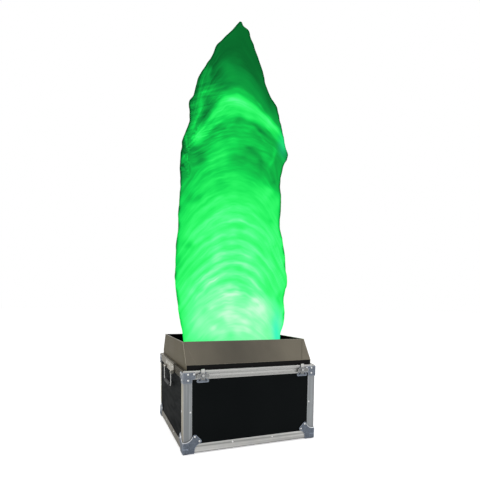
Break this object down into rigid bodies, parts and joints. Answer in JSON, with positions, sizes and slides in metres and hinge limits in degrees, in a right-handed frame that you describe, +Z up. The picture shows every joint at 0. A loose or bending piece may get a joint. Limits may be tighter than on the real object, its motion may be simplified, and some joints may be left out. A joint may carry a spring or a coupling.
{
  "type": "flame effect light",
  "caption": "Stage effect light: a silk flame blown up by fans and lit by lamp bars, standing in the collar of a base built as a flight case.",
  "frame": {"origin": "middle of the footprint, on the floor that the ball corners stand on", "axes": "+X to the right seen from the front, +Y to the rear, +Z up"},
  "size_m": [0.532, 0.5116, 1.6046],
  "materials": {
    "black_laminate": "plywood faced with black laminate",
    "anodised_aluminium": "satin mill finish",
    "lamp_aluminium": "dark anodised",
    "zinc_plated_steel": "bluish zinc plating, slightly dull",
    "bright_steel": "bright zinc",
    "black_rubber": "matt",
    "black_painted_steel": "matt black",
    "taupe_painted_steel": "satin warm grey",
    "cast_aluminium": "painted black",
    "fan_polymer": "moulded",
    "moulded_plastic": "semi-gloss black",
    "clear_lens": "clear acrylic",
    "lit_silk": "thin silk lit green"
  },
  "bodies": {
    "case": {"panel_base": "black_laminate", "panel_front": "black_laminate", "panel_rear": "black_laminate", "panel_left": "black_laminate", "panel_right": "black_laminate", "corner_post_front_left": "anodised_aluminium", "corner_post_front_right": "anodised_aluminium", "corner_post_rear_left": "anodised_aluminium", "corner_post_rear_right": "anodised_aluminium", "base_edge_front": "anodised_aluminium", "base_edge_rear": "anodised_aluminium", "base_edge_left": "anodised_aluminium", "base_edge_right": "anodised_aluminium", "rim_front": "anodised_aluminium", "rim_rear": "anodised_aluminium", "rim_left": "anodised_aluminium", "rim_right": "anodised_aluminium", "ball_corner_front_left": "zinc_plated_steel", "ball_corner_front_right": "zinc_plated_steel", "ball_corner_rear_left": "zinc_plated_steel", "ball_corner_rear_right": "zinc_plated_steel", "corner_brace_front_left": "zinc_plated_steel", "corner_brace_front_right": "zinc_plated_steel", "corner_brace_rear_left": "zinc_plated_steel", "corner_brace_rear_right": "zinc_plated_steel", "latch_plate_left": "zinc_plated_steel", "lid_hinge_left": "zinc_plated_steel", "handle_plate_left": "zinc_plated_steel", "fan_frame_left": "cast_aluminium", "latch_plate_right": "zinc_plated_steel", "lid_hinge_right": "zinc_plated_steel", "handle_plate_right": "zinc_plated_steel", "fan_frame_right": "cast_aluminium", "deck": "black_painted_steel", "collar_front": "taupe_painted_steel", "collar_rear": "taupe_painted_steel", "collar_left": "taupe_painted_steel", "collar_right": "taupe_painted_steel", "lamp_housing_front": "lamp_aluminium", "lamp_housing_rear": "lamp_aluminium", "lamp_lens_front": "clear_lens", "lamp_lens_rear": "clear_lens", "silk_bar": "bright_steel", "silk_flame": "lit_silk", "mains_inlet": "moulded_plastic", "switch_frame": "moulded_plastic", "power_supply": "lamp_aluminium"},
    "fan_left": {"fan_rotor_left": "fan_polymer"},
    "fan_right": {"fan_rotor_right": "fan_polymer"},
    "wing_left": {"latch_wing_left": "bright_steel"},
    "wing_right": {"latch_wing_right": "bright_steel"},
    "hook_left": {"latch_hook_left": "bright_steel"},
    "hook_right": {"latch_hook_right": "bright_steel"},
    "bail_left": {"handle_bail_left": "bright_steel", "handle_grip_left": "black_rubber"},
    "bail_right": {"handle_bail_right": "bright_steel", "handle_grip_right": "black_rubber"},
    "rocker": {"switch_rocker": "moulded_plastic"}
  },
  "joints": [
    {"name": "fan_left_spin", "type": "hinge", "parent": "case", "child": "fan_left", "pos_m": [-0.105, 0, 0.1882], "axis": [0, 0, 1], "continuous": true},
    {"name": "fan_right_spin", "type": "hinge", "parent": "case", "child": "fan_right", "pos_m": [0.105, 0, 0.1882], "axis": [0, 0, 1], "continuous": true},
    {"name": "latch_left_turn", "type": "hinge", "parent": "case", "child": "wing_left", "pos_m": [-0.184, -0.245, 0.265], "axis": [0, -1, 0], "range_deg": [0, 180]},
    {"name": "hook_left_lift", "type": "slide", "parent": "case", "child": "hook_left", "axis": [0, 0, 1], "range_m": [0, 0.008]},
    {"name": "latch_right_turn", "type": "hinge", "parent": "case", "child": "wing_right", "pos_m": [0.194, -0.245, 0.265], "axis": [0, -1, 0], "range_deg": [0, 180]},
    {"name": "hook_right_lift", "type": "slide", "parent": "case", "child": "hook_right", "axis": [0, 0, 1], "range_m": [0, 0.008]},
    {"name": "handle_left_swing", "type": "hinge", "parent": "case", "child": "bail_left", "pos_m": [-0.2585, 0, 0.252], "axis": [0, 1, 0], "range_deg": [0, 95]},
    {"name": "handle_right_swing", "type": "hinge", "parent": "case", "child": "bail_right", "pos_m": [0.2585, 0, 0.252], "axis": [0, -1, 0], "range_deg": [0, 95]},
    {"name": "switch_tip", "type": "hinge", "parent": "case", "child": "rocker", "pos_m": [0.1, 0.2435, 0.08], "axis": [1, 0, 0], "range_deg": [0, 14]}
  ],
  "couplings": [
    {"joint": "hook_left_lift", "follows": "latch_left_turn", "m_per_rad": 0.002546},
    {"joint": "hook_right_lift", "follows": "latch_right_turn", "m_per_rad": 0.002546}
  ]
}
